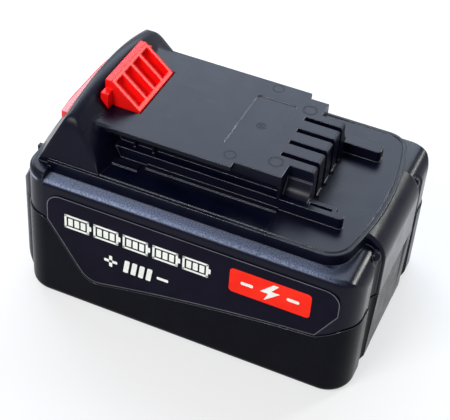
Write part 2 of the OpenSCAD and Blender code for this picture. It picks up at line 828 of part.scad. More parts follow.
// Screw bosses that reach down to the posts of the lower housing, with a web at the rear
module bosses() {
    for (p = boss_places) translate([p[0], p[1], p[3]]) cylinder(r = boss_r, h = p[2] - p[3]);
    web = 1.6;
    for (side = [-1, 1]) {
        block([rear_shield_in - 1, side * rear_boss_y - web / 2, part_rear_z + fit_gap],
              [rear_boss_x, side * rear_boss_y + web / 2, rear_boss_top]);
    }
}

// Sprung hook: ramp with pockets, two ears, stem, arm and spring feet
module latch_hook() color("#f02a14") {
    ramp = atan2(hook_rise, hook_l - hook_flat);
    difference() {
        along_y(-hook_half, hook_half) polygon([
            [hook_back, stem_bottom], [hook_back, hook_top], [hook_back + hook_flat, hook_top],
            [hook_foot, plate_z], [hook_foot, stem_bottom]]);
        hook_pockets(ramp);
    }
    block([hook_back, -stem_half, stem_bottom], [hook_foot - fit_gap, stem_half, stem_top]);
    block([hook_back, -ear_half, plate_z], [hook_back + ear_l, ear_half, plate_z + ear_rise]);
    block([hook_back, -arm_half + 2, arm_bottom], [hook_back + 4, arm_half - 2, stem_bottom + 1]);
    block([button_back, -arm_half, arm_bottom], [hook_back + 4, arm_half, arm_top]);
    for (side = [-1, 1]) {
        y = side * spring_y;
        block([foot_x1 - foot_web, y - foot_half_w, foot_z], [foot_x1, y + foot_half_w, button_bottom]);
        block([foot_x1 - 1, y - foot_half_w, arm_bottom], [button_back + 1, y + foot_half_w, button_bottom]);
        block([foot_x0, y - foot_half_w, foot_z], [foot_x1, y + foot_half_w, foot_z + foot_t]);
        translate([spring_x, y, foot_z - 2]) cylinder(r = spring_d / 2 - spring_wire - fit_gap, h = 3);
    }
}

// Pockets sunk into the hook's ramp, side by side across it
module hook_pockets(ramp) {
    pocket_pitch = (2 * hook_half - pocket_rib) / pocket_count;
    rim = 1.4;
    ramp_l = hook_rise / sin(ramp);
    translate([hook_foot, 0, plate_z]) rotate([0, ramp, 0]) for (i = [0:pocket_count - 1]) {
        y = -hook_half + pocket_rib + i * pocket_pitch;
        block([-ramp_l + rim, y, -pocket_depth],
              [-rim, y + pocket_pitch - pocket_rib, pocket_depth]);
    }
}

// Thumb button on the rear slope, bowed in plan
module release_button() color("#f02a14") {
    intersection() {
        block([body_rear, -button_half, button_bottom], [button_back, button_half, button_top]);
        translate([button_face + button_bend, 0, 0]) cylinder(r = button_bend, h = far, $fn = 128);
        along_y(-far, far) offset(r = 1.2) offset(delta = -1.2) polygon([
            [button_face, button_bottom - 4], [button_face, button_top],
            [button_back + 4, button_top], [button_back + 4, button_bottom - 4]]);
    }
}

// Points of a spring's wire along one helix that rises from z0 to z1
function helix(x, y, r, z0, z1, turns, steps) = [
    for (i = [0:turns * steps])
        let (a = 360 * i / steps) [x + r * cos(a), y + r * sin(a), z0 + (z1 - z0) * i / (turns * steps)]];

// Round wire swept along a helix
module spring(x, y, z0, z1) {
    sides = 6;
    steps = 12;
    r = spring_d / 2 - spring_wire / 2;
    path = helix(x, y, r, z0, z1, spring_turns, steps);
    last = len(path) - 1;
    rings = [for (i = [0:last], s = [0:sides - 1])
        let (
            out = [path[i][0] - x, path[i][1] - y, 0] / r,
            b = 360 * s / sides)
        path[i] + spring_wire / 2 * (cos(b) * out + sin(b) * [0, 0, 1])];
    quads = [for (i = [0:last - 1], s = [0:sides - 1])
        let (a = i * sides + s, b = i * sides + (s + 1) % sides)
        each [[a, b, b + sides], [a, b + sides, a + sides]]];
    first_cap = [for (s = [1:sides - 2]) [0, s + 1, s]];
    last_cap = [for (s = [1:sides - 2]) [last * sides, last * sides + s, last * sides + s + 1]];
    polyhedron(rings, concat(quads, first_cap, last_cap));
}

module latch_spring(side) color("#b8bcc2")
    spring(spring_x, side * spring_y, seat_z + spring_wire / 2 + 0.05,
           foot_z - spring_wire / 2 - 0.05);

// Round cell with its wrapped can, crimp and raised positive end; flip turns it end for end
module cell(column, layer) color(layer == 0 ? "#2f6fb0" : "#3577b8") {
    r = cell_d / 2;
    nub_r = 3.6;
    nub_h = 0.7;
    crimp = 0.5;
    flip = column % 2;
    translate([cell_x(column), 0, cell_z(layer)]) rotate([flip ? 90 : -90, 0, 0])
        rotate_extrude() polygon([
            [0, -cell_l / 2], [r - crimp, -cell_l / 2], [r, -cell_l / 2 + crimp],
            [r, cell_l / 2 - 4.4], [r - crimp, cell_l / 2 - 4], [r - crimp, cell_l / 2 - 3.4],
            [r, cell_l / 2 - 3], [r, cell_l / 2 - nub_h - crimp],
            [r - crimp, cell_l / 2 - nub_h], [nub_r, cell_l / 2 - nub_h],
            [nub_r - 0.3, cell_l / 2], [0, cell_l / 2]]);
}

// Holder at one end of the cells: bores, end lip with windows, and pilots for the board screws
module cell_holder(side) color("#3a3d42") {
    mirror([0, side > 0 ? 0 : 1, 0]) difference() {
        translate([0, lip_y - holder_depth, block_z]) linear_extrude(block_top - block_z)
            translate([-block_half, 0]) square([2 * block_half, holder_depth + holder_lip]);
        for (c = [0:columns - 1], l = [0:layers - 1]) translate([cell_x(c), 0, cell_z(l)])
            rotate([-90, 0, 0]) {
                translate([0, 0, lip_y - holder_depth - 1]) cylinder(r = bore_r, h = holder_depth + 1);
                cylinder(r = lip_window_r, h = far);
            }
        for (x = board_screw_x) translate([x, board_screw_y, block_top - board_screw_l])
            cylinder(r = board_screw_r + pilot_gap, h = far);
    }
}

// Nickel strip over a run of columns, with weld dimples and a tab bent over the board
module strip(side, first, last) color("#c9ccd0") {
    inner = board_half - 3;
    width = pitch - 4;
    x_tab = cell_x(last);
    lead_end = max(x_tab + tab_w / 2, board_x0 + tab_w);
    x0 = cell_x(first) - width / 2;
    x1 = cell_x(last) + width / 2;
    mirror([0, side > 0 ? 0 : 1, 0]) {
        block([x0, strip_y, block_z + strip_margin], [x1, strip_y + strip_t, block_top - strip_margin]);
        for (c = [first:last], l = [0:layers - 1]) translate([cell_x(c), lip_y, cell_z(l)])
            rotate([-90, 0, 0]) cylinder(r = dimple_r, h = holder_lip + strip_t);
        block([x_tab - tab_w / 2, strip_y, block_top - strip_margin - 1],
              [x_tab + tab_w / 2, strip_y + strip_t, board_top + strip_t]);
        block([x_tab - tab_w / 2, inner, board_top],
              [x_tab + tab_w / 2, strip_y + strip_t, board_top + strip_t]);
        block([x_tab - tab_w / 2, inner, board_top],
              [lead_end, inner + tab_w, board_top + strip_t]);
    }
}

// Insulating sheet over the strips at one end of the cells
module insulator(side) color("#c8b48a") {
    margin = 1.5;
    mirror([0, side > 0 ? 0 : 1, 0])
        block([-block_half + margin, sheet_y, block_z + margin],
              [block_half - margin, sheet_y + sheet_t, block_top - margin]);
}

// Foam strips under the holders
module foam_pads() color("#55585c") {
    for (side = [-1, 1]) {
        y = side > 0 ? lip_y - holder_depth + 2 : -lip_y - holder_lip + 2;
        block([-block_half + 6, y, floor_t], [block_half - 6, y + holder_depth + holder_lip - 4, block_z]);
    }
}

// Control board on top of the holders
module circuit_board() color("#1f5a36") {
    difference() {
        translate([0, 0, block_top]) linear_extrude(board_t)
            rounded_plan(board_x0, board_x1, board_half, 2);
        for (x = board_screw_x, side = [-1, 1]) translate([x, side * board_screw_y, block_top - 1])
            cylinder(r = board_screw_r + 0.2, h = board_t + 2);
        for (i = [0:slot_count - 1]) translate([contact_x1 - 1, slot_y(i), block_top - 1])
            cylinder(r = 0.7, h = board_t + 2);
    }
}

// Controller with its row of legs on two sides
module control_chip() color("#202226") {
    chip_l = 10;
    chip_w = 7;
    chip_h = 1.6;
    leg_pitch = 1.27;
    leg_count = 7;
    x0 = (board_x0 + contact_x0) / 2 - chip_l;
    block([x0, -chip_w / 2, board_top + 0.15], [x0 + chip_l, chip_w / 2, board_top + 0.15 + chip_h]);
    for (i = [0:leg_count - 1], side = [-1, 1]) {
        x = x0 + chip_l / 2 + (i - (leg_count - 1) / 2) * leg_pitch;
        y = side > 0 ? chip_w / 2 - 0.3 : -chip_w / 2 - 0.9;
        block([x - 0.2, y, board_top], [x + 0.2, y + 1.2, board_top + 0.6]);
    }
}

// Four power transistors in a row on the board
module power_switches() color("#26282c") {
    body_l = 6;
    body_w = 5;
    body_h = 1.1;
    row_x = board_x0 + 5;
    row_y = 11;
    row_pitch = 8;
    tab_h = 0.5;
    tab_reach = 1.6;
    tab_inset = 0.6;
    for (i = [0:3]) {
        x = row_x + i * row_pitch;
        block([x, row_y, board_top], [x + body_l, row_y + body_w, board_top + body_h]);
        block([x + tab_inset, row_y + body_w - 0.2, board_top],
              [x + body_l - tab_inset, row_y + body_w + tab_reach, board_top + tab_h]);
    }
}

// Bridge of resistance metal that measures the current
module current_shunt() color("#b9a58c") {
    shunt_l = 12;
    shunt_w = 4;
    shunt_h = 2;
    shunt_foot = 2.5;
    shunt_t = 0.8;
    shunt_y = 17;
    x0 = (board_x0 + contact_x0) / 2 - shunt_l;
    along_y(-shunt_y, -shunt_y + shunt_w) difference() {
        translate([x0, board_top]) square([shunt_l, shunt_h]);
        translate([x0 + shunt_foot, board_top - 1])
            square([shunt_l - 2 * shunt_foot, shunt_h - shunt_t + 1]);
    }
}

// Temperature bead between two cells, on leads from the board
module thermistor() color("#2a2a2a") {
    lead_gap = 1.2;
    bead_r = 1.6;
    x = (cell_x(3) + cell_x(2)) / 2;
    z = cell_z(1) + 6.6;
    translate([x, 0, z]) sphere(bead_r);
    for (side = [-1, 1]) translate([x, side * lead_gap / 2, z]) cylinder(r = 0.3, h = block_top - z);
}

// Plastic base that carries the contacts on the board
module terminal_base() color("#2b2e33") {
    base_h = ledge_z - wall - 0.6 - board_top + 1;
    half = slot_y(slot_count - 1) + pocket_w / 2 + 1;
    difference() {
        block([contact_x0 - 1.5, -half, board_top], [contact_x1 + 1.5, half, board_top + base_h]);
        for (i = [0:slot_count - 1]) translate([contact_x1 - 1, slot_y(i), board_top - 1])
            cylinder(r = 0.7, h = far);
    }
}

// Fork contact: foot, pin through the board and two leaves that pinch at the slot
module contact(i) color("#c7a253") {
    z0 = ledge_z - wall - 0.6 + 1;
    z1 = plate_in_z - 1;
    half = pocket_w / 2 - 0.15;
    pinch = 0.25;
    leaf_root = 4;
    leaf_throat = 3;
    translate([0, slot_y(i), 0]) {
        block([contact_x0, -half, z0], [contact_x1, half, z0 + leaf_t]);
        for (side = [-1, 1]) along_x(contact_x0, contact_x1) polygon([
            [side * half, z0], [side * half, z0 + leaf_root],
            [side * (pinch + leaf_t), z1 - leaf_throat], [side * half, z1],
            [side * (half - leaf_t), z1], [side * pinch, z1 - leaf_throat],
            [side * (half - leaf_t), z0 + leaf_root], [side * (half - leaf_t), z0]]);
        translate([contact_x1 - 1, 0, block_top - 0.8]) cylinder(r = 0.5, h = z0 - block_top + 1);
    }
}

// Small pan-head screws that hold the board to the holders
module board_screws() color("#b0b4b8") {
    for (x = board_screw_x, side = [-1, 1]) translate([x, side * board_screw_y, board_top]) {
        cylinder(r = board_head_r, h = 1);
        translate([0, 0, -board_screw_l]) cylinder(r = board_screw_r, h = board_screw_l + 0.5);
    }
}

// Long housing screws, driven from below
module housing_screws() color("#8d9196") {
    drive_r = screw_head_r / 2;
    for (p = boss_places) translate([p[0], p[1], 0]) difference() {
        union() {
            translate([0, 0, head_seat - screw_head_h]) cylinder(r = screw_head_r, h = screw_head_h);
            translate([0, 0, head_seat - 0.5]) cylinder(r = screw_r, h = screw_l + 0.5);
        }
        translate([0, 0, head_seat - screw_head_h - 1]) cylinder(r = drive_r, h = 2, $fn = 6);
    }
}

// Bare label that fills the side panel above the parting line
module side_label() color("#141318") {
    rear_x = slant_top_x + label_margin;
    front_x = body_front - label_front;
    along_y(-upper_half - label_t, -upper_half) offset(r = 0.8) offset(delta = -0.8) polygon(concat(
        [[rear_x, label_top - label_r]],
        [for (p = side_edge) p + [p[0] < slant_top_x ? label_margin + slant_top_x - p[0] : 0, label_margin]],
        [[front_x, part_front_z + label_rise], [front_x, label_top - label_r]],
        arc([front_x - label_r, label_top - label_r], label_r, 0, 90, 8),
        arc([rear_x + label_r, label_top - label_r], label_r, 90, 180, 8)));
}

upper_housing();
lower_housing();
latch_hook();
release_button();
latch_spring(-1);  // latch_spring_near
latch_spring(1);  // latch_spring_far
for (c = [0:columns - 1], l = [0:layers - 1]) {
    cell(c, l);
}
cell_holder(-1);  // cell_holder_near
cell_holder(1);  // cell_holder_far
strip(-1, 0, 1);  // strip_near_1
strip(-1, 2, 3);  // strip_near_2
strip(-1, 4, 4);  // strip_near_3
strip(1, 0, 0);  // strip_far_1
strip(1, 1, 2);  // strip_far_2
strip(1, 3, 4);  // strip_far_3
insulator(-1);  // insulator_near
insulator(1);  // insulator_far
foam_pads();
circuit_board();
control_chip();
power_switches();
current_shunt();
thermistor();
terminal_base();
for (i = [0:slot_count - 1]) {
    contact(i);
}
board_screws();
housing_screws();
side_label();
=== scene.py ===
"""Looks of a slide-on tool battery pack: black moulded housing, red sprung latch, side label."""
import json
import math

import bmesh
import bpy
import numpy as np
from mathutils import Matrix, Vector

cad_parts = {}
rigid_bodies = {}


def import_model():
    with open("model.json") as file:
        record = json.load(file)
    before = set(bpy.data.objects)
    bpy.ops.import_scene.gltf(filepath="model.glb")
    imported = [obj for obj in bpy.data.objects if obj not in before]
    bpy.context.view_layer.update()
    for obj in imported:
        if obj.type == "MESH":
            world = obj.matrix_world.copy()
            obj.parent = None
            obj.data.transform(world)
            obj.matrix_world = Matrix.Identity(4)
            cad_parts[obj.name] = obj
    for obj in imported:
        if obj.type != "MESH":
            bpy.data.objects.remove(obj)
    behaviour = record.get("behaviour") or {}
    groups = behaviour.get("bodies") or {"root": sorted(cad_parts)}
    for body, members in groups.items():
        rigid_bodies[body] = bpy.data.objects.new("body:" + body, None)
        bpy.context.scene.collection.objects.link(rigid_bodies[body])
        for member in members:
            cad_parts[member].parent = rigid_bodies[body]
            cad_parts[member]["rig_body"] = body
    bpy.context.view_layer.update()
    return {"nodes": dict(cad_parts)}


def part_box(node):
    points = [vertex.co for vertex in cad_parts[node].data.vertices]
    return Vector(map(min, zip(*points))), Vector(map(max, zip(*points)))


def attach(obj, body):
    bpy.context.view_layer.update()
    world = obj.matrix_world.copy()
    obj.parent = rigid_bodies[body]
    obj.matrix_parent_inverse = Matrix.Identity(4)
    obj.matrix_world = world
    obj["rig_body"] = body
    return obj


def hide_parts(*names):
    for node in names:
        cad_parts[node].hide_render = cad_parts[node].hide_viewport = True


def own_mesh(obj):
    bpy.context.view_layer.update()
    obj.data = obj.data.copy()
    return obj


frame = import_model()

MM = 0.001
EDGE_ROUND = 0.45 * MM
scene = bpy.context.scene
scene.view_settings.view_transform = "Standard"

# Camera at the photograph's view
CAMERA_PLACE = np.array([111.0, -291.2, 301.7]) * MM
CAMERA_AZIMUTH = math.radians(20.77)
CAMERA_HEIGHT = math.radians(41.58)
CAMERA_ROLL = math.radians(4.65)
CAMERA_LENS = 101.75
CAMERA_SENSOR = 36


def make_camera():
    """Looks back along the azimuth and elevation, then turns about its own axis by the roll."""
    back = np.array([
        math.sin(CAMERA_AZIMUTH) * math.cos(CAMERA_HEIGHT),
        -math.cos(CAMERA_AZIMUTH) * math.cos(CAMERA_HEIGHT),
        math.sin(CAMERA_HEIGHT)])
    level = np.cross(-back, [0, 0, 1])
    level /= np.linalg.norm(level)
    above = np.cross(level, -back)
    c, s = math.cos(CAMERA_ROLL), math.sin(CAMERA_ROLL)
    axes = np.eye(4)
    axes[:3, 0] = c * level + s * above
    axes[:3, 1] = -s * level + c * above
    axes[:3, 2] = back
    axes[:3, 3] = CAMERA_PLACE
    data = bpy.data.cameras.new("photo_camera")
    data.lens = CAMERA_LENS
    data.sensor_width = CAMERA_SENSOR
    data.sensor_fit = "HORIZONTAL"
    data.clip_start = 0.01
    camera = bpy.data.objects.new("photo_camera", data)
    scene.collection.objects.link(camera)
    camera.matrix_world = Matrix(axes.tolist())
    scene.camera = camera


make_camera()


# Shared shader effects

def new_group(name, inputs, outputs):
    """An empty shader group with named sockets: inputs are (name, kind, default)."""
    group = bpy.data.node_groups.new(name, "ShaderNodeTree")
    for label, kind, value in inputs:
        socket = group.interface.new_socket(label, in_out="INPUT", socket_type=kind)
        if value is not None:
            socket.default_value = value
    for label, kind in outputs:
        group.interface.new_socket(label, in_out="OUTPUT", socket_type=kind)
    return group, group.nodes.new("NodeGroupInput"), group.nodes.new("NodeGroupOutput")


def feed(tree, socket, value):
    """Links an output to a socket, or sets the socket where the value is plain."""
    if isinstance(value, bpy.types.NodeSocket):
        tree.links.new(value, socket)
    else:
        socket.default_value = value


def calc(tree, operation, a, b=0.0):
    """One Math node, returning its output."""
    node = tree.nodes.new("ShaderNodeMath")
    node.operation = operation
    feed(tree, node.inputs[0], a)
    feed(tree, node.inputs[1], b)
    return node.outputs[0]


def product(tree, first, *others):
    """All values multiplied together."""
    for other in others:
        first = calc(tree, "MULTIPLY", first, other)
    return first


def greatest(tree, first, *others):
    """The largest of all values."""
    for other in others:
        first = calc(tree, "MAXIMUM", first, other)
    return first


def spread(tree, value, low, high, out_low=0.0, out_high=1.0):
    """Smooth step of a value from low to high, put out between two numbers."""
    node = tree.nodes.new("ShaderNodeMapRange")
    node.interpolation_type = "SMOOTHSTEP"
    feed(tree, node.inputs["Value"], value)
    feed(tree, node.inputs["From Min"], low)
    feed(tree, node.inputs["From Max"], high)
    feed(tree, node.inputs["To Min"], out_low)
    feed(tree, node.inputs["To Max"], out_high)
    return node.outputs["Result"]


def noise(tree, vector, scale, detail=2.0, rough=0.5):
    """One noise texture on the given vector, returning its value."""
    node = tree.nodes.new("ShaderNodeTexNoise")
    feed(tree, node.inputs["Vector"], vector)
    feed(tree, node.inputs["Scale"], scale)
    node.inputs["Detail"].default_value = detail
    node.inputs["Roughness"].default_value = rough
    return node.outputs["Fac"]


def mix_colour(tree, share, a, b):
    """Colour a where share is 0 and b where it is 1."""
    node = tree.nodes.new("ShaderNodeMix")
    node.data_type = "RGBA"
    feed(tree, node.inputs["Factor"], share)
    feed(tree, node.inputs["A"], a)
    feed(tree, node.inputs["B"], b)
    return node.outputs["Result"]


MOTTLE_RATIO = 30.0
STREAK_SCALE = (60.0, 900.0, 300.0)
STREAK_TURN = (0.0, 0.2, 0.5)


def make_grain_group():
    """Spark-eroded mould texture: fine noise for the height, slow noise for mottle, streaks for scuffs."""
    group, given, out = new_group(
        "moulded_grain",
        [("Vector", "NodeSocketVector", None), ("Scale", "NodeSocketFloat", 3500.0)],
        [("Fine", "NodeSocketFloat"), ("Mottle", "NodeSocketFloat"), ("Scuff", "NodeSocketFloat")])
    vector, scale = given.outputs["Vector"], given.outputs["Scale"]
    feed(group, out.inputs["Fine"], noise(group, vector, scale, 3.0, 0.6))
    slow = noise(group, vector, calc(group, "DIVIDE", scale, MOTTLE_RATIO), 4.0, 0.55)
    feed(group, out.inputs["Mottle"], slow)
    drawn = group.nodes.new("ShaderNodeMapping")
    drawn.inputs["Scale"].default_value = STREAK_SCALE
    drawn.inputs["Rotation"].default_value = STREAK_TURN
    feed(group, drawn.inputs["Vector"], vector)
    streak = noise(group, drawn.outputs["Vector"], 1.0, 1.0, 0.4)
    feed(group, out.inputs["Scuff"], spread(group, streak, 0.70, 0.78))
    return group


def make_seam_group():
    """Mask of a thin mould seam: 1 where a coordinate is within a width of its place."""
    group, given, out = new_group(
        "mould_seam",
        [("Coordinate", "NodeSocketFloat", 0.0), ("Place", "NodeSocketFloat", 0.0),
         ("Width", "NodeSocketFloat", 0.0001)],
        [("Mask", "NodeSocketFloat")])
    apart = calc(group, "SUBTRACT", given.outputs["Coordinate"], given.outputs["Place"])
    off = calc(group, "ABSOLUTE", apart)
    share = calc(group, "DIVIDE", off, given.outputs["Width"])
    feed(group, out.inputs["Mask"], spread(group, share, 1.0, 0.3))
    return group


def make_zone_group():
    """Mask of a band: 1 where a value lies between two limits, with soft edges."""
    group, given, out = new_group(
        "zone",
        [("Value", "NodeSocketFloat", 0.0), ("Low", "NodeSocketFloat", 0.0), ("High", "NodeSocketFloat", 1.0),
         ("Soft", "NodeSocketFloat", 0.0002)],
        [("Mask", "NodeSocketFloat")])
    value, soft = given.outputs["Value"], given.outputs["Soft"]
    low, high = given.outputs["Low"], given.outputs["High"]
    rise = spread(group, value, calc(group, "SUBTRACT", low, soft), calc(group, "ADD", low, soft))
    fall = spread(group, value, calc(group, "SUBTRACT", high, soft), calc(group, "ADD", high, soft), 1.0, 0.0)
    feed(group, out.inputs["Mask"], product(group, rise, fall))
    return group


def make_ring_group():
    """Mask of a ring: 1 where the distance from a centre in X and Y is within a width of the radius."""
    group, given, out = new_group(
        "ring_mark",
        [("X", "NodeSocketFloat", 0.0), ("Y", "NodeSocketFloat", 0.0), ("Radius", "NodeSocketFloat", 0.002),
         ("Width", "NodeSocketFloat", 0.0002)],
        [("Mask", "NodeSocketFloat")])
    x, y = given.outputs["X"], given.outputs["Y"]
    reach = calc(group, "SQRT", calc(group, "ADD", product(group, x, x), product(group, y, y)))
    off = calc(group, "ABSOLUTE", calc(group, "SUBTRACT", reach, given.outputs["Radius"]))
    share = calc(group, "DIVIDE", off, given.outputs["Width"])
    feed(group, out.inputs["Mask"], spread(group, share, 1.0, 0.4))
    return group


GRAIN = make_grain_group()
SEAM = make_seam_group()
ZONE = make_zone_group()
RING = make_ring_group()


def place_group(tree, group, **values):
    """Puts a shared group into a tree with its own values."""
    node = tree.nodes.new("ShaderNodeGroup")
    node.node_tree = group
    for label, value in values.items():
        feed(tree, node.inputs[label.capitalize()], value)
    return node


BEVEL_SAMPLES = 8
# Colour of the painted edge highlight: edges given a brighter, mirror-like finish standing for light caught
# by rounded edges
EDGE_HIGHLIGHT_COLOUR = (0.050, 0.053, 0.060, 1)


class Finish:
    """A new material with its Principled shader, object coordinates and the shared grain in place."""

    def __init__(self, name, grain_scale, **plain):
        self.material = bpy.data.materials.new(name)
        self.material.use_nodes = True
        self.tree = self.material.node_tree
        self.shader = self.tree.nodes["Principled BSDF"]
        for socket, value in plain.items():
            self.shader.inputs[socket].default_value = value
        self.place = self.tree.nodes.new("ShaderNodeTexCoord").outputs["Object"]
        split = self.tree.nodes.new("ShaderNodeSeparateXYZ")
        feed(self.tree, split.inputs[0], self.place)
        self.x, self.y, self.z = split.outputs
        self.grain = place_group(self.tree, GRAIN, vector=self.place, scale=grain_scale)

    def zone(self, value, low, high, soft=0.2):
        """Band mask with its limits in mm."""
        low, high, soft = low * MM, high * MM, soft * MM
        return place_group(self.tree, ZONE, value=value, low=low, high=high, soft=soft).outputs["Mask"]

    def ramp(self, value, start, end, first=0.0, last=1.0):
        """Smooth step between two places in mm."""
        return spread(self.tree, value, start * MM, end * MM, first, last)

    def seam(self, value, place, width=0.1):
        """Seam mask with its place and width in mm."""
        place, width = place * MM, width * MM
        return place_group(self.tree, SEAM, coordinate=value, place=place, width=width).outputs["Mask"]

    def ring(self, x, y, radius, width):
        """Ring mask about a centre, all in mm."""
        across = calc(self.tree, "SUBTRACT", self.x, x * MM)
        along = calc(self.tree, "SUBTRACT", self.y, y * MM)
        radius, width = radius * MM, width * MM
        return place_group(self.tree, RING, x=across, y=along, radius=radius, width=width).outputs["Mask"]

    def rounded(self, radius):
        """Normal that is rounded over the edges by a radius, and a mask of those edges."""
        node = self.tree.nodes.new("ShaderNodeBevel")
        node.samples = BEVEL_SAMPLES
        feed(self.tree, node.inputs["Radius"], radius)
        geometry = self.tree.nodes.new("ShaderNodeNewGeometry")
        same = self.tree.nodes.new("ShaderNodeVectorMath")
        same.operation = "DOT_PRODUCT"
        feed(self.tree, same.inputs[0], node.outputs["Normal"])
        feed(self.tree, same.inputs[1], geometry.outputs["Normal"])
        return node.outputs["Normal"], spread(self.tree, same.outputs["Value"], 0.985, 0.90)

    def bump(self, height, distance, normal=None):
        """Surface relief, over a rounded normal where one is given."""
        node = self.tree.nodes.new("ShaderNodeBump")
        node.inputs["Distance"].default_value = distance
        feed(self.tree, node.inputs["Height"], height)
        if normal:
            feed(self.tree, node.inputs["Normal"], normal)
        feed(self.tree, self.shader.inputs["Normal"], node.outputs["Normal"])

    def mirror_edge_highlight(self, colour, edges):
        """Base colour with a painted highlight on the edges: there the plastic is made to mirror more, so
        lamps and the white surroundings show as bright lines where rounded edges would catch light.
        """
        feed(self.tree, self.shader.inputs["Metallic"], edges)
        self.base(mix_colour(self.tree, edges, colour, EDGE_HIGHLIGHT_COLOUR))

    def base(self, colour):
        """Base colour, plain or from a node."""
        feed(self.tree, self.shader.inputs["Base Color"], colour)

    def rough(self, value):
        """Roughness, plain or from a node."""
        feed(self.tree, self.shader.inputs["Roughness"], value)

    def tones(self, dark, light):
        """A colour between two tones, by the slow mottle."""
        share = spread(self.tree, self.grain.outputs["Mottle"], 0.35, 0.65)
        return mix_colour(self.tree, share, dark, light)

    def mottled(self, dark, light):
        """Base colour between two tones."""
        self.base(self.tones(dark, light))

    def gloss(self, low, high):
        """Roughness between two levels, by the fine grain."""
        self.rough(spread(self.tree, self.grain.outputs["Fine"], 0.3, 0.7, low, high))

    def tooth(self, distance, normal=None):
        """Relief of the fine grain."""
        self.bump(self.grain.outputs["Fine"], distance, normal)


# Marks of the upper moulding, in mm: ejector rings and gate as X, Y, radius and line width;
# seams as X and the distance from the middle at which each begins
EJECTOR_MARKS = (
    (20.8, 14.2, 2.1, 0.30), (20.8, -14.2, 2.1, 0.30), (10.25, 0.0, 1.25, 0.35), (10.25, 0.0, 0.3, 0.35),
    (7.8, 20.0, 1.8, 0.16), (7.4, -17.6, 1.8, 0.16))
MOULD_SEAMS = ((-36.1, 25.5), (25.2, 20.1))
# Painted reflection of the lamps on the ledge: pale blue on the near side, grey on the far side
LEDGE_REFLECTION_NEAR = (0.30, 0.355, 0.53, 1)
LEDGE_REFLECTION_FAR = (0.24, 0.25, 0.26, 1)
SEAM_DARK = (0.001, 0.001, 0.003, 1)
HUMP_ROUND = 1.8 * MM


def ledge_mask(f, side):
    """Ledge round the deck: a strip on each side and the front columns' tops, fading to the front as a
    painted falloff of the reflected light; the mask also sets the ledge's roughness and grain.
    """
    strips = f.zone(side, 32.1, 36.6, 0.3)
    columns = product(f.tree, f.ramp(f.x, 46.0, 48.5), f.zone(side, 17.8, 36.6, 0.3))
    # Fade along the length: painted falloff of the ledge's reflected light towards the front, which also
    # eases its roughness and grain
    along = product(f.tree, f.ramp(f.x, -45.0, 30.0, 1.0, 0.66), f.ramp(f.x, 40.0, 54.5, 1.0, 0.0))
    return product(f.tree, f.zone(f.z, 46.6, 47.5), greatest(f.tree, strips, columns), along)


def seam_mask(f, side):
    """Mould seams across the housing, each from its start outwards."""
    return greatest(f.tree, *(product(f.tree, f.seam(f.x, x), f.zone(side, start, 40.0))
                              for x, start in MOULD_SEAMS))


def ejector_mask(f):
    """Ring marks on the top plate."""
    rings = greatest(f.tree, *(f.ring(*mark) for mark in EJECTOR_MARKS))
    return product(f.tree, rings, f.zone(f.z, 63.4, 64.5))


def black_upper():
    """Upper moulding: satin top, grainy ledge with a painted pale reflection, glossier front, softened hump,
    seams, ring marks and a painted highlight on the edges.
    """
    f = Finish("black_upper_moulding", 4200.0, IOR=1.22)
    t = f.tree
    fine, mottle, scuff = (f.grain.outputs[n] for n in ("Fine", "Mottle", "Scuff"))
    side = calc(t, "ABSOLUTE", f.y)
    ledge, seams, marks = ledge_mask(f, side), seam_mask(f, side), ejector_mask(f)
    front = product(t, f.ramp(f.x, 49.0, 52.0), f.ramp(f.z, 47.0, 48.0, 1.0, 0.0))
    hump = product(t, f.ramp(f.x, -28.0, -32.0), f.ramp(f.z, 52.0, 56.0))

    speck = spread(t, noise(t, f.place, 2300.0, 1.0, 0.5), 0.36, 0.62, 0.45, 1.0)
    # Painted reflection on the ledge, specked by the grain, bluer on the near side than the far
    ledge_reflection = mix_colour(t, f.ramp(f.y, -10.0, 10.0), LEDGE_REFLECTION_NEAR, LEDGE_REFLECTION_FAR)
    tone = f.tones((0.0012, 0.0017, 0.0090, 1), (0.0024, 0.0029, 0.0112, 1))
    tone = mix_colour(t, product(t, ledge, speck), tone, ledge_reflection)
    tone = mix_colour(t, product(t, seams, 0.7), tone, SEAM_DARK)
    normal, edges = f.rounded(calc(t, "ADD", EDGE_ROUND, product(t, hump, HUMP_ROUND)))
    # Painted highlight on the edges, left off the hump
    f.mirror_edge_highlight(tone, product(t, edges, calc(t, "SUBTRACT", 1.0, hump)))

    level = spread(t, mottle, 0.3, 0.7, 0.27, 0.33)
    level = calc(t, "ADD", level, product(t, ledge, 0.30))
    level = calc(t, "SUBTRACT", level, product(t, front, 0.11))
    f.rough(calc(t, "ADD", level, product(t, scuff, 0.05)))

    height = product(t, fine, calc(t, "ADD", 0.25, ledge))
    height = calc(t, "SUBTRACT", height, product(t, seams, 1.5))
    height = calc(t, "SUBTRACT", height, product(t, marks, 4.0))
    f.bump(height, 0.04 * MM, normal)
    return f.material


def black_lower():
    """Lower moulding: the same black plastic, polished, with a faint grain and a painted highlight on the
    edges.
    """
    f = Finish("black_lower_moulding", 3600.0, IOR=1.14)
    t = f.tree
    normal, edges = f.rounded(EDGE_ROUND)
    # Painted highlight on the edges
    f.mirror_edge_highlight(f.tones((0.0008, 0.0009, 0.0040, 1), (0.0016, 0.0017, 0.0054, 1)), edges)
    level = spread(t, f.grain.outputs["Mottle"], 0.3, 0.7, 0.22, 0.30)
    f.rough(calc(t, "ADD", level, product(t, f.grain.outputs["Scuff"], 0.06)))
    f.tooth(0.01 * MM, normal)
    return f.material


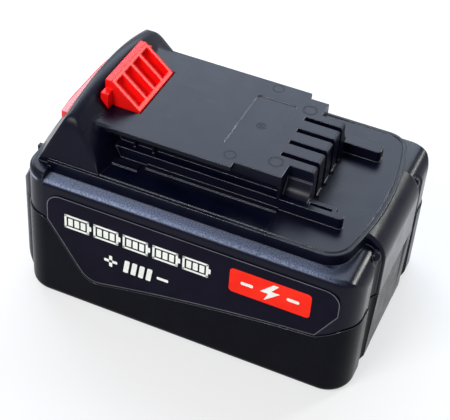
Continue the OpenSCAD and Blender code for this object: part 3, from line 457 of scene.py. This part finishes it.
def latch_red(name, ior, rough_low, rough_high):
    """Orange-red moulding with a soft sheen and a little colour drift."""
    f = Finish(name, 3000.0, IOR=ior)
    f.mottled((0.90, 0.0050, 0.0045, 1), (0.94, 0.0080, 0.0065, 1))
    f.gloss(rough_low, rough_high)
    f.tooth(0.012 * MM, f.rounded(1.4 * EDGE_ROUND)[0])
    return f.material


def label_film():
    """Matt printed film, near black with a violet cast and a fine tooth."""
    f = Finish("label_film", 5200.0, IOR=1.12)
    f.mottled((0.0042, 0.0036, 0.0105, 1), (0.0056, 0.0048, 0.0130, 1))
    f.gloss(0.42, 0.56)
    f.tooth(0.010 * MM)
    return f.material


def print_ink_and_highlight(name, dark, light):
    """Printed ink on the label, also used for the painted highlight along its edge, with the film's tooth
    showing through.
    """
    f = Finish(name, 5200.0, IOR=1.15)
    f.mottled(dark, light)
    f.gloss(0.38, 0.50)
    f.tooth(0.008 * MM)
    return f.material


def plain_plastic(name, dark, light, rough_low, rough_high, scale=2500.0, depth=0.02 * MM):
    """Moulded or wrapped plastic of the inner parts: two tones, uneven gloss and a fine grain."""
    f = Finish(name, scale, IOR=1.46)
    f.mottled(dark, light)
    f.gloss(rough_low, rough_high)
    f.tooth(depth)
    return f.material


def drawn_metal(name, dark, light, rough_low, rough_high):
    """Rolled or drawn metal: fine streaks in the gloss and a slow tarnish."""
    f = Finish(name, 2500.0, Metallic=1.0)
    f.mottled(dark, light)
    level = spread(f.tree, f.grain.outputs["Fine"], 0.3, 0.7, rough_low, rough_high)
    f.rough(calc(f.tree, "ADD", level, product(f.tree, f.grain.outputs["Scuff"], 0.12)))
    f.tooth(0.006 * MM)
    return f.material


def board_laminate():
    """Green solder mask over copper tracks: tracks follow a brick pattern on the board's plane."""
    f = Finish("board_laminate", 3000.0, IOR=1.5)
    t = f.tree
    brick = t.nodes.new("ShaderNodeTexBrick")
    feed(t, brick.inputs["Vector"], f.place)
    sizes = {"Scale": 260.0, "Mortar Size": 0.018, "Brick Width": 0.9, "Row Height": 0.32}
    for label, value in sizes.items():
        brick.inputs[label].default_value = value
    track = brick.outputs["Fac"]
    f.base(mix_colour(t, track, (0.012, 0.085, 0.032, 1), (0.035, 0.17, 0.060, 1)))
    f.rough(calc(t, "ADD", 0.32, product(t, track, 0.08)))
    f.bump(calc(t, "ADD", track, product(t, f.grain.outputs["Fine"], 0.15)), 0.03 * MM)
    return f.material


FINISHES = {
    "housing": black_upper(),
    "housing_low": black_lower(),
    "latch": latch_red("latch_red", 1.28, 0.30, 0.38),
    "button": latch_red("button_red", 1.60, 0.10, 0.16),
    "label": label_film(),
    "mark": print_ink_and_highlight("label_mark_ink", (0.80, 0.81, 0.74, 1), (0.86, 0.87, 0.80, 1)),
    "badge": print_ink_and_highlight("label_badge_ink", (0.90, 0.020, 0.008, 1), (0.94, 0.028, 0.011, 1)),
    # Painted highlight along the label's edge, lighter than the film
    "rim": print_ink_and_highlight("label_rim_ink", (0.10, 0.10, 0.11, 1), (0.14, 0.14, 0.15, 1)),
    "cell_wrap": plain_plastic("cell_wrap", (0.025, 0.13, 0.36, 1), (0.035, 0.16, 0.42, 1), 0.22, 0.34),
    "holder": plain_plastic("holder_plastic", (0.035, 0.038, 0.043, 1), (0.05, 0.053, 0.06, 1), 0.4, 0.55),
    "nickel": drawn_metal("nickel_strip", (0.55, 0.55, 0.54, 1), (0.68, 0.67, 0.65, 1), 0.22, 0.36),
    "contact_brass": drawn_metal("contact_brass", (0.70, 0.50, 0.20, 1), (0.80, 0.60, 0.28, 1), 0.20, 0.34),
    "spring_steel": drawn_metal("spring_steel", (0.45, 0.46, 0.48, 1), (0.60, 0.61, 0.63, 1), 0.18, 0.30),
    "screw_steel": drawn_metal("screw_steel", (0.20, 0.205, 0.21, 1), (0.34, 0.345, 0.35, 1), 0.24, 0.40),
    "insulator": plain_plastic("insulating_sheet", (0.48, 0.38, 0.22, 1), (0.56, 0.46, 0.29, 1), 0.5, 0.7),
    "foam": plain_plastic(
        "pad_foam", (0.06, 0.062, 0.066, 1), (0.10, 0.102, 0.108, 1), 0.8, 0.95, 1400.0, 0.2 * MM),
    "board": board_laminate(),
    "chip": plain_plastic(
        "chip_resin", (0.012, 0.012, 0.013, 1), (0.02, 0.02, 0.021, 1), 0.45, 0.6, 5000.0),
    "shunt": drawn_metal("shunt_alloy", (0.50, 0.38, 0.28, 1), (0.62, 0.48, 0.36, 1), 0.28, 0.42),
}


# Pieces

def new_piece(name, vertices, faces, finish, body, smooth=True):
    """A mesh object at the origin from arrays of vertices and faces, riding on a body."""
    mesh = bpy.data.meshes.new(name)
    mesh.from_pydata(np.asarray(vertices, float).tolist(), [], [list(map(int, f)) for f in faces])
    mesh.validate()
    mesh.polygons.foreach_set("use_smooth", np.full(len(mesh.polygons), smooth))
    mesh.materials.append(FINISHES[finish])
    piece = bpy.data.objects.new(name, mesh)
    scene.collection.objects.link(piece)
    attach(piece, body)
    return piece


WELD = 0.002 * MM
FLAT_LIMIT = 0.3
SMOOTH_LIMIT = 30.0


def even_normals(mesh):
    """Corner normals: the mean of the faces within the smooth limit, each weighted by its flat region.

    Faces that meet within the flat limit form one region, so a flat face keeps its own normal up to its
    border, and a rounding runs smoothly into it.
    """
    work = bmesh.new()
    work.from_mesh(mesh)
    work.faces.ensure_lookup_table()
    region = np.full(len(work.faces), -1)
    areas = []
    flat = math.cos(math.radians(FLAT_LIMIT))
    for face in work.faces:
        if region[face.index] >= 0:
            continue
        region[face.index] = len(areas)
        total, queue = 0.0, [face]
        while queue:
            here = queue.pop()
            total += here.calc_area()
            for edge in here.edges:
                for other in edge.link_faces:
                    if region[other.index] < 0 and other.normal.dot(here.normal) > flat:
                        region[other.index] = len(areas)
                        queue.append(other)
        areas.append(total)
    normals = np.zeros((len(mesh.loops), 3))
    near = math.cos(math.radians(SMOOTH_LIMIT))
    for vertex in work.verts:
        faces = list(vertex.link_faces)
        ways = np.array([f.normal[:] for f in faces]).reshape(-1, 3)
        ids = region[[f.index for f in faces]]
        first = [i for i in range(len(ids)) if ids[i] not in ids[:i]]
        share = np.array([areas[i] for i in ids[first]])
        for loop in vertex.link_loops:
            own = np.array(loop.face.normal[:])
            weight = share * (ways[first] @ own > near)
            mean = weight @ ways[first]
            length = np.linalg.norm(mean)
            normals[loop.index] = mean / length if length > 1e-12 else own
    work.free()
    mesh.normals_split_custom_set(normals.tolist())


def moulded(node, finish):
    """A merged copy of a CAD node, smooth on its curved faces and crisp at its edges."""
    mesh = frame["nodes"][node].data.copy()
    mesh.name = node + "_moulded"
    work = bmesh.new()
    work.from_mesh(mesh)
    bmesh.ops.remove_doubles(work, verts=work.verts, dist=WELD)
    work.to_mesh(mesh)
    work.free()
    mesh.polygons.foreach_set("use_smooth", np.full(len(mesh.polygons), True))
    even_normals(mesh)
    mesh.materials.clear()
    mesh.materials.append(FINISHES[finish])
    piece = bpy.data.objects.new(node + "_moulded", mesh)
    scene.collection.objects.link(piece)
    body = frame["nodes"][node]["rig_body"]
    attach(piece, body)
    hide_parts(node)
    return piece


moulded("upper_housing", "housing")
moulded("lower_housing", "housing_low")
moulded("latch_hook", "latch")
moulded("release_button", "button")


def coil(name, node):
    """Compression spring: a round wire section carried along a helix between the two seats."""
    low, high = (np.array(v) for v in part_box(node))
    wire = 0.35 * MM
    turns = 8
    steps = 28
    sides = 12
    centre = (low[:2] + high[:2]) / 2
    reach = (high[0] - low[0]) / 2 - wire
    turn = np.linspace(0, 2 * np.pi * turns, turns * steps + 1)
    rise = np.linspace(low[2] + wire, high[2] - wire, len(turn))
    around = np.linspace(0, 2 * np.pi, sides, endpoint=False)
    out = np.stack([np.cos(turn), np.sin(turn), 0 * turn], 1)
    line = np.stack([centre[0] + reach * np.cos(turn), centre[1] + reach * np.sin(turn), rise], 1)
    level, upright = np.cos(around)[None, :, None], np.sin(around)[None, :, None]
    ring = line[:, None, :] + wire * (level * out[:, None, :] + upright * np.array([0, 0, 1.0]))
    i, j = np.meshgrid(np.arange(len(turn) - 1), np.arange(sides), indexing="ij")
    k = (j + 1) % sides
    quads = np.stack([i * sides + j, (i + 1) * sides + j, (i + 1) * sides + k, i * sides + k], -1)
    ends = [list(range(sides)), [(len(turn) - 1) * sides + s for s in range(sides)][::-1]]
    faces = [*quads.reshape(-1, 4), *ends]
    piece = new_piece(name, ring.reshape(-1, 3), faces, "spring_steel", "pack")
    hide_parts(node)
    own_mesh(piece)


coil("spring_near", "latch_spring_near")
coil("spring_far", "latch_spring_far")


def signed_power(values, exponent):
    """Power of the size of each value, with the value's sign kept."""
    return np.sign(values) * np.abs(values) ** exponent


def foam_strip(name, low, high):
    """Foam pad: a superellipsoid box, its low powers making flat faces with soft edges."""
    plan, rise = 0.12, 0.25
    u = np.linspace(0, 2 * np.pi, 96, endpoint=False)
    v = np.linspace(-np.pi / 2, np.pi / 2, 25)[1:-1]
    uu, vv = np.meshgrid(u, v)
    half, mid = (high - low) / 2, (high + low) / 2
    reach = signed_power(np.cos(vv), rise)
    unit = np.stack([reach * signed_power(np.cos(uu), plan), reach * signed_power(np.sin(uu), plan),
                     signed_power(np.sin(vv), rise)], -1)
    grid = mid + half * unit
    rows, cols = grid.shape[:2]
    i, j = np.meshgrid(np.arange(rows - 1), np.arange(cols), indexing="ij")
    k = (j + 1) % cols
    quads = np.stack([i * cols + j, i * cols + k, (i + 1) * cols + k, (i + 1) * cols + j], -1)
    ends = [list(range(cols))[::-1], [(rows - 1) * cols + s for s in range(cols)]]
    faces = [*quads.reshape(-1, 4), *ends]
    piece = new_piece(name, grid.reshape(-1, 3), faces, "foam", "pack")
    return piece


def foam_pads():
    """One foam strip on each side, in the space of the CAD node's two solids."""
    low, high = (np.array(v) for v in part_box("foam_pads"))
    depth = 9.7 * MM
    near = foam_strip("foam_near", low, np.array([high[0], low[1] + depth, high[2]]))
    foam_strip("foam_far", np.array([low[0], high[1] - depth, low[2]]), high)
    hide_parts("foam_pads")


foam_pads()


# Label: film, a painted highlight along its edge, badge and generic marks, as thin prints on the near side

LABEL_FACE = float(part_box("side_label")[0][1])
PRINT = 0.03 * MM
PRINT_ROOT = 0.05 * MM
RIM_OUTER, RIM_INNER = 0.12 * MM, 0.42 * MM


def outline_print(name, outlines, finish, proud=PRINT):
    """Flat print: each outline in X and Z carried a hair's breadth out of the label's face."""
    vertices, faces = [], []
    for outline in outlines:
        flat = np.asarray(outline, float)
        turn = flat[:, 0] * np.roll(flat[:, 1], -1) - flat[:, 1] * np.roll(flat[:, 0], -1)
        flat = flat if turn.sum() > 0 else flat[::-1]
        n, first = len(flat), len(vertices)
        for y in (LABEL_FACE - proud, LABEL_FACE + PRINT_ROOT):
            vertices += np.stack([flat[:, 0], np.full(n, y), flat[:, 1]], 1).tolist()
        front = first + np.arange(n)
        faces += [front.tolist(), (front + n)[::-1].tolist()]
        ahead = np.roll(front, -1)
        faces += np.stack([ahead, front, front + n, ahead + n], 1).tolist()
    return new_piece(name, vertices, faces, finish, "pack", smooth=False)


def arc_points(centre, radius, start, end, count):
    """Points of a circle's arc, in degrees."""
    a = np.radians(np.linspace(start, end, count))
    return np.stack([centre[0] + radius * np.cos(a), centre[1] + radius * np.sin(a)], 1)


def rounded_box(x0, z0, x1, z1, r, lean=0.0):
    """Outline of a rounded rectangle, its top shifted by the lean."""
    p = np.concatenate([
        arc_points((x1 - r, z0 + r), r, -90, 0, 6), arc_points((x1 - r, z1 - r), r, 0, 90, 6),
        arc_points((x0 + r, z1 - r), r, 90, 180, 6), arc_points((x0 + r, z0 + r), r, 180, 270, 6)])
    p[:, 0] += lean * (p[:, 1] - z0) / (z1 - z0)
    return p * MM


def label_outline():
    """Outline of the label's face, from its CAD node: the corners of its largest face that looks to -Y."""
    work = bmesh.new()
    work.from_mesh(frame["nodes"]["side_label"].data)
    bmesh.ops.remove_doubles(work, verts=work.verts, dist=WELD)
    bmesh.ops.dissolve_limit(work, angle_limit=math.radians(0.6), verts=work.verts, edges=work.edges)
    face = max((f for f in work.faces if f.normal.y < -0.9), key=lambda f: f.calc_area())
    points = np.array([(v.co.x, v.co.z) for v in face.verts])
    work.free()
    return points


def inset(points, distance):
    """Outline moved inwards: each corner shifted along the mean of its two edge normals."""
    ahead = np.roll(points, -1, 0) - points
    ahead /= np.linalg.norm(ahead, axis=1)[:, None]
    normal = np.stack([-ahead[:, 1], ahead[:, 0]], 1)
    turn = points[:, 0] * np.roll(points[:, 1], -1) - points[:, 1] * np.roll(points[:, 0], -1)
    normal *= np.sign(turn.sum())
    mean = normal + np.roll(normal, 1, 0)
    mean /= (mean * normal).sum(1)[:, None]
    return points + distance * mean


def label_rim():
    """Painted highlight just inside the label's edge, a lighter line standing for the light its edge catches:
    a closed flat ring between two insets of it.
    """
    line = label_outline()
    turn = line[:, 0] * np.roll(line[:, 1], -1) - line[:, 1] * np.roll(line[:, 0], -1)
    line = line if turn.sum() > 0 else line[::-1]
    outer, inner = inset(line, RIM_OUTER), inset(line, RIM_INNER)
    n = len(line)
    face, root = LABEL_FACE - PRINT, LABEL_FACE + PRINT_ROOT
    rings = [(outer, face), (inner, face), (inner, root), (outer, root)]
    vertices = np.concatenate([np.stack([p[:, 0], np.full(n, y), p[:, 1]], 1) for p, y in rings])
    i = np.arange(n)
    k = np.roll(i, -1)
    faces = []
    for r in range(4):
        a, b = r * n, (r + 1) % 4 * n
        faces += np.stack([i + a, k + a, k + b, i + b], 1).tolist()
    new_piece("label_rim", vertices, faces, "rim", "pack", smooth=False)


def cell_mark(x0, z0, width, height):
    """Pictogram of one cell: a body with three charge bars cut as separate islands, and a nub."""
    wall, gap = 0.75, 0.55
    x1, z1 = x0 + width, z0 + height
    bars = 3
    inner = width - 2 * (wall + gap)
    pitch = (inner + gap) / bars
    marks = [
        rounded_box(x0, z0, x1, z0 + wall, 0.3), rounded_box(x0, z1 - wall, x1, z1, 0.3),
        rounded_box(x0, z0 + 0.2, x0 + wall, z1 - 0.2, 0.3),
        rounded_box(x1 - wall, z0 + 0.2, x1, z1 - 0.2, 0.3),
        rounded_box(x1 - 0.05, z0 + 0.32 * height, x1 + 0.75, z1 - 0.32 * height, 0.25)]
    for b in range(bars):
        left = x0 + wall + gap + b * pitch
        marks.append(rounded_box(left, z0 + wall + gap, left + pitch - gap, z1 - wall - gap, 0.2))
    return marks


def label_marks():
    """Generic marks in off-white: five cells, a gauge between plus and minus, a bolt on the badge."""
    marks = []
    for i in range(5):
        marks += cell_mark(-38.0 + i * 10.1, 31.9, 8.6, 5.5)
    low, high = 21.6, 26.8
    middle = (low + high) / 2
    arm = 0.55
    marks += [rounded_box(-24.2, middle - arm, -19.6, middle + arm, 0.3),
              rounded_box(-21.9 - arm, middle - 2.3, -21.9 + arm, middle + 2.3, 0.3)]
    for i in range(4):
        marks.append(rounded_box(-17.6 + i * 2.6, low, -15.9 + i * 2.6, high, 0.4, 0.7))
    marks.append(rounded_box(-5.9, middle - arm, -2.0, middle + arm, 0.3))
    outline_print("label_marks", marks, "mark")
    outline_print("label_badge", [rounded_box(17.9, 29.95, 44.0, 39.5, 1.3)], "badge")
    bolt = np.array([(31.9, 38.3), (27.9, 34.2), (30.5, 34.2), (29.3, 31.1),
                     (34.2, 35.4), (31.4, 35.4), (33.6, 38.3)])
    bars = [rounded_box(21.6, 34.1, 25.6, 35.3, 0.5), rounded_box(36.4, 34.1, 40.4, 35.3, 0.5)]
    outline_print("badge_bolt", [bolt * MM, *bars], "mark", proud=2 * PRINT)


moulded("side_label", "label")
# Painted highlight along the label's edge
label_rim()
label_marks()


# Finishes of the CAD nodes that stay

NODE_FINISH = {
    "circuit_board": "board", "control_chip": "chip", "power_switches": "chip", "current_shunt": "shunt",
    "thermistor": "chip", "terminal_base": "holder", "board_screws": "screw_steel",
    "housing_screws": "screw_steel", "insulator_near": "insulator", "insulator_far": "insulator",
    "cell_holder_near": "holder", "cell_holder_far": "holder"}
FAMILY_FINISH = {"cell_": "cell_wrap", "strip_": "nickel", "contact_": "contact_brass"}
for node, piece in frame["nodes"].items():
    family = next((name for start, name in FAMILY_FINISH.items() if node.startswith(start)), None)
    finish = NODE_FINISH.get(node, family)
    if finish:
        piece.data.materials.clear()
        piece.data.materials.append(FINISHES[finish])


# Floor, surroundings and lamps

FLOOR_HALF = 3.0
FLOOR_GLOW = 0.6
WORLD_FILL = 0.35
MIDDLE = (0.0, 0.0, 0.04)

# Each lamp: name, place and size in m, radiance and colour
LAMPS = (
    ("top_softbox", (-0.26, 0.58, 0.58), (0.90, 0.50), 6.2, (0.72, 0.84, 1.0)),
    ("left_softbox", (-0.85, 0.42, 0.34), (0.40, 0.35), 6.0, (0.90, 0.95, 1.0)),
    ("front_softbox", (-0.28, -0.72, 0.74), (0.42, 0.14), 36.0, (1.0, 1.0, 1.0)),
    ("far_lamp", (0.52, 0.71, 0.57), (0.19, 0.19), 35.0, (0.95, 1.0, 0.93)))


def see_white(tree, white, plain):
    """White to camera, glossy and transmission rays, and the plain shader to diffuse rays."""
    path = tree.nodes.new("ShaderNodeLightPath")
    seen = calc(tree, "MAXIMUM", path.outputs["Is Camera Ray"], path.outputs["Is Glossy Ray"])
    seen = calc(tree, "MAXIMUM", seen, path.outputs["Is Transmission Ray"])
    mix = tree.nodes.new("ShaderNodeMixShader")
    feed(tree, mix.inputs[0], seen)
    feed(tree, mix.inputs[1], plain)
    feed(tree, mix.inputs[2], white)
    return mix.outputs[0]


def make_floor():
    """A wide pale floor that keeps most of its white under the object's shadow."""
    material = bpy.data.materials.new("pale_floor")
    material.use_nodes = True
    tree = material.node_tree
    tree.nodes.remove(tree.nodes["Principled BSDF"])
    plain = tree.nodes.new("ShaderNodeBsdfDiffuse")
    plain.inputs["Color"].default_value = (0.86, 0.86, 0.87, 1)
    glow = tree.nodes.new("ShaderNodeEmission")
    glow.inputs["Color"].default_value = (1, 1, 1, 1)
    glow.inputs["Strength"].default_value = 1.0
    part = tree.nodes.new("ShaderNodeMixShader")
    part.inputs[0].default_value = FLOOR_GLOW
    feed(tree, part.inputs[1], plain.outputs[0])
    feed(tree, part.inputs[2], glow.outputs[0])
    surface = see_white(tree, part.outputs[0], plain.outputs[0])
    feed(tree, tree.nodes["Material Output"].inputs["Surface"], surface)
    half = FLOOR_HALF
    corners = [(-half, -half, 0), (half, -half, 0), (half, half, 0), (-half, half, 0)]
    mesh = bpy.data.meshes.new("floor")
    mesh.from_pydata(corners, [], [(0, 1, 2, 3)])
    mesh.materials.append(material)
    floor = bpy.data.objects.new("floor", mesh)
    scene.collection.objects.link(floor)


def make_world():
    """White surroundings for what is seen and mirrored, with a lower fill for diffuse light."""
    world = bpy.data.worlds.new("studio")
    scene.world = world
    world.use_nodes = True
    tree = world.node_tree
    tree.nodes.remove(tree.nodes["Background"])
    seen = tree.nodes.new("ShaderNodeBackground")
    seen.inputs["Color"].default_value = (1, 1, 1, 1)
    fill = tree.nodes.new("ShaderNodeBackground")
    fill.inputs["Color"].default_value = (0.95, 0.97, 1.0, 1)
    fill.inputs["Strength"].default_value = WORLD_FILL
    surface = see_white(tree, seen.outputs[0], fill.outputs[0])
    feed(tree, tree.nodes["World Output"].inputs["Surface"], surface)


def make_lamp(name, place, size, radiance, colour):
    """A rectangular soft box turned to the object's middle; its power is radiance times pi times its area."""
    data = bpy.data.lights.new(name, "AREA")
    data.shape = "RECTANGLE"
    data.size, data.size_y = size
    data.energy = radiance * math.pi * size[0] * size[1]
    data.color = colour
    lamp = bpy.data.objects.new(name, data)
    scene.collection.objects.link(lamp)
    back = np.asarray(place, float) - np.asarray(MIDDLE, float)
    back /= np.linalg.norm(back)
    right = np.cross([0, 0, 1], back)
    right /= np.linalg.norm(right)
    axes = np.eye(4)
    axes[:3, 0], axes[:3, 1], axes[:3, 2], axes[:3, 3] = right, np.cross(back, right), back, place
    lamp.matrix_world = Matrix(axes.tolist())


make_floor()
make_world()
for lamp in LAMPS:
    make_lamp(*lamp)
